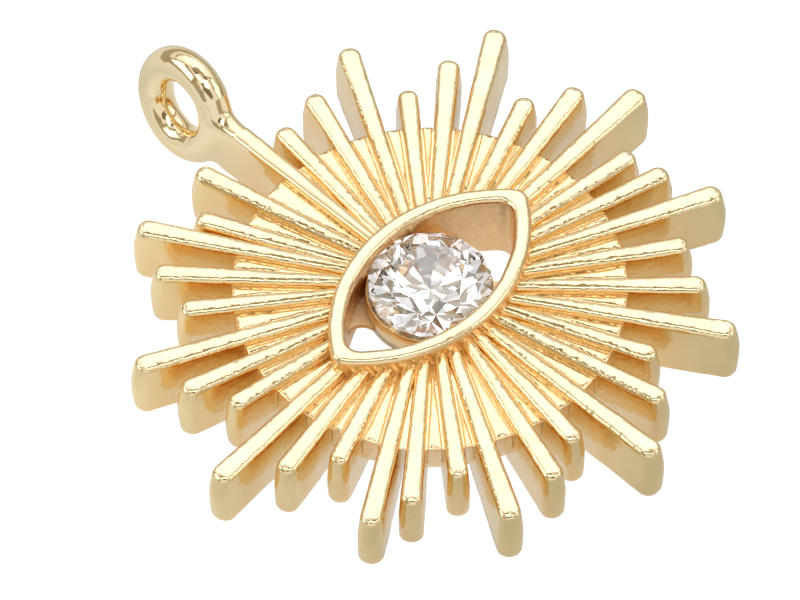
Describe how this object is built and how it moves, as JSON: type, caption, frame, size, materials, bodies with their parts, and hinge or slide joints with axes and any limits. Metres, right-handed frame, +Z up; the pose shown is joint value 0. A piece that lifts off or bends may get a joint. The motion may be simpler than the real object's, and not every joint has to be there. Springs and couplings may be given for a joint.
{
  "type": "sun charm",
  "caption": "Cast sunburst charm: straight rays round an almond eye rim with a round faceted stone, and a fixed loop that hangs it from a jump ring.",
  "frame": {"origin": "the centre of the hanging loop's hole", "axes": "The charm lies flat on its back. X runs along the eye's long axis, Y from the eye towards the loop and Z up out of the charm's front."},
  "size_m": [0.0206, 0.0229, 0.004],
  "materials": {
    "gold": "polished pale gold plate on cast brass",
    "stone": "clear faceted cubic zirconia"
  },
  "bodies": {
    "root": {"casting": "gold", "stone": "stone"}
  },
  "joints": []
}
